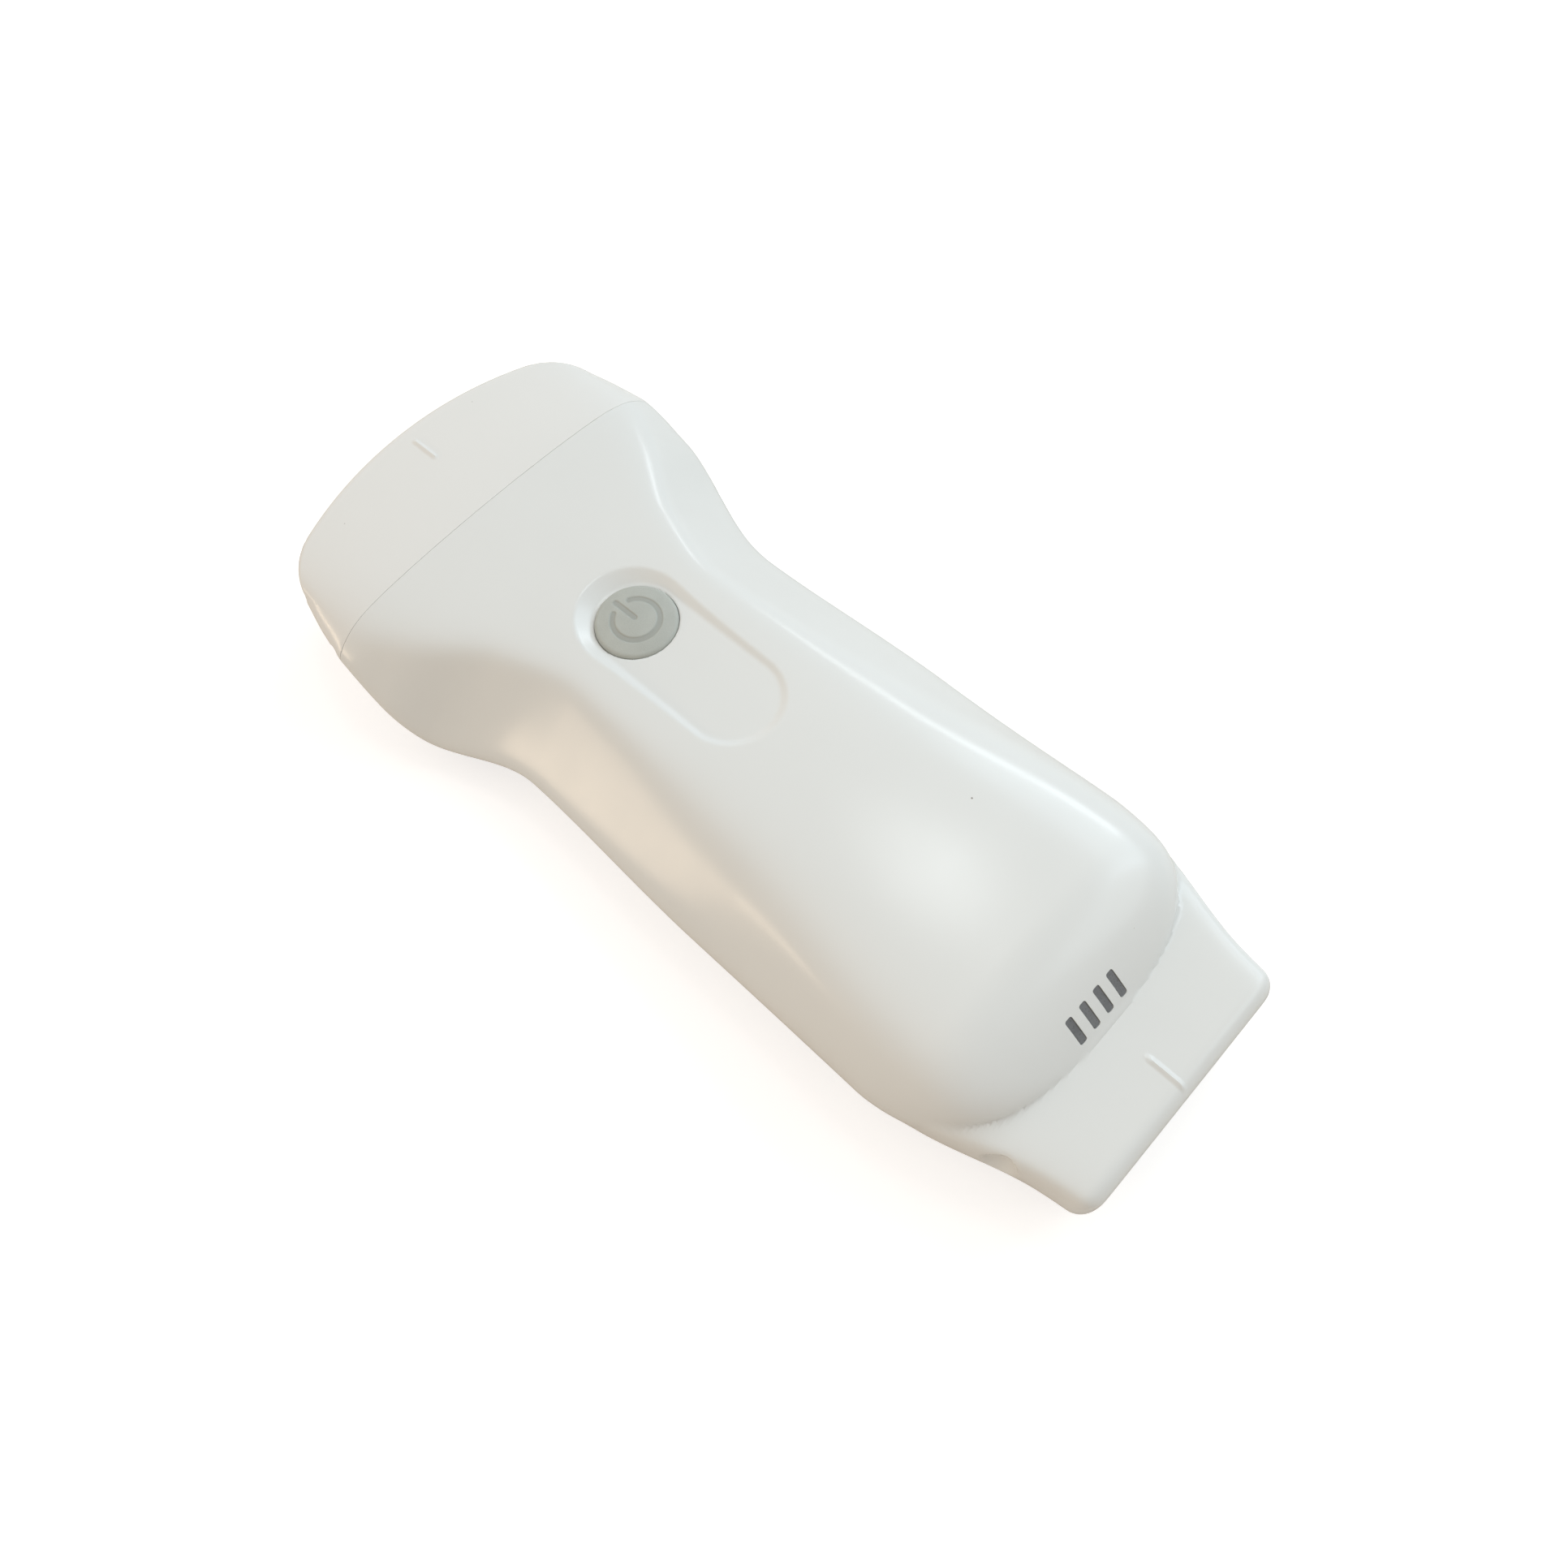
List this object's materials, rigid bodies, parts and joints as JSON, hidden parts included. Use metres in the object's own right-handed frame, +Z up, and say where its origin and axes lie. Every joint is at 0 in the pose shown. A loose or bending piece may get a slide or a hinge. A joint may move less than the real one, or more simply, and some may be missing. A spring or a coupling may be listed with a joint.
{
  "type": "handheld ultrasound scanner",
  "caption": "Wireless handheld ultrasound scanner: waisted housing, convex head on one end, linear head on the other, round power button on top.",
  "frame": {"origin": "on the surface that the scanner lies on, under the middle of its bounding box", "axes": "+X along the scanner towards the convex head, +Z up through the power button, +Y across it, on the side with the orientation dimples"},
  "size_m": [0.153, 0.065, 0.0234],
  "materials": {
    "white_plastic": "satin moulded",
    "lens_silicone": "smooth matte",
    "button_silicone": "matte",
    "smoked_plastic": "smooth",
    "seal_rubber": "matte",
    "ceramic": "diced piezoceramic",
    "backing_resin": "cast",
    "flex_film": "smooth film",
    "board_laminate": "solder mask",
    "chip_plastic": "moulded",
    "tinned_steel": "tinned",
    "aluminium": "rolled",
    "copper": "wound copper wire",
    "ferrite": "sintered",
    "battery_film": "laminated pouch",
    "foam": "closed cell foam",
    "connector_nylon": "moulded"
  },
  "bodies": {
    "scanner": {"upper_housing": "white_plastic", "bottom_cover": "white_plastic", "nose_cap": "white_plastic", "nose_seal": "seal_rubber", "convex_lens": "lens_silicone", "convex_array": "ceramic", "convex_backing": "backing_resin", "convex_flex": "flex_film", "convex_connector": "connector_nylon", "linear_lens": "lens_silicone", "linear_array": "ceramic", "linear_backing": "backing_resin", "linear_flex": "flex_film", "linear_connector": "connector_nylon", "power_switch": "tinned_steel", "light_guide": "smoked_plastic", "led_strip": "board_laminate", "main_board": "board_laminate", "board_screw_1": "tinned_steel", "board_screw_2": "tinned_steel", "board_screw_3": "tinned_steel", "board_screw_4": "tinned_steel", "beamformer_chip_1": "chip_plastic", "beamformer_chip_2": "chip_plastic", "beamformer_chip_3": "chip_plastic", "beamformer_chip_4": "chip_plastic", "processor_chip": "chip_plastic", "radio_shield": "tinned_steel", "heat_spreader": "aluminium", "radio_antenna": "flex_film", "charging_coil": "copper", "ferrite_sheet": "ferrite", "battery_pack": "battery_film", "battery_pad": "foam", "battery_connector": "connector_nylon", "battery_lead": "seal_rubber"},
    "button": {"power_button": "button_silicone"}
  },
  "joints": [
    {"name": "power_press", "type": "slide", "parent": "scanner", "child": "button", "axis": [0, 0, -1], "range_m": [0, 0.0004], "stiffness_N_per_m": 1500}
  ]
}
